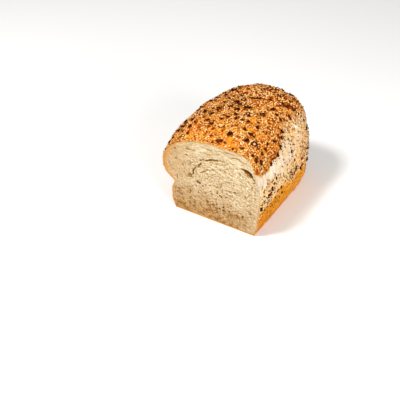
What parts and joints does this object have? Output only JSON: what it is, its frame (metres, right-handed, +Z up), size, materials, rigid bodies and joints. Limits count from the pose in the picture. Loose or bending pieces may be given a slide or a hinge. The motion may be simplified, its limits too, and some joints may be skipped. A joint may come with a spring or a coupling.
{
  "type": "everything sourdough loaf, cut",
  "caption": "Tin-baked sourdough loaf with a leaning domed top under seeds and toasted onion, cut straight across to show the crumb and a rolled-in line of seeds.",
  "frame": {"origin": "middle of the loaf's outline on the surface it stands on", "axes": "+Y along the loaf, from the cut face at the front to the baked back end; +X to the right seen from the cut; +Z up"},
  "size_m": [0.1458, 0.176, 0.125],
  "materials": {
    "crust": "baked golden crust, satin on the dome, paler in the torn band",
    "crumb": "open, soft cream crumb, matt",
    "seed_filling": "thin rolled-in line of seeds and onion, matt",
    "sesame_seed": "toasted cream seeds, satin",
    "dark_seed": "blue-black seeds, matt",
    "onion_flake": "dark toasted flakes, uneven and brittle"
  },
  "bodies": {
    "root": {"loaf": "crust", "seed_swirl": "seed_filling"}
  },
  "joints": []
}
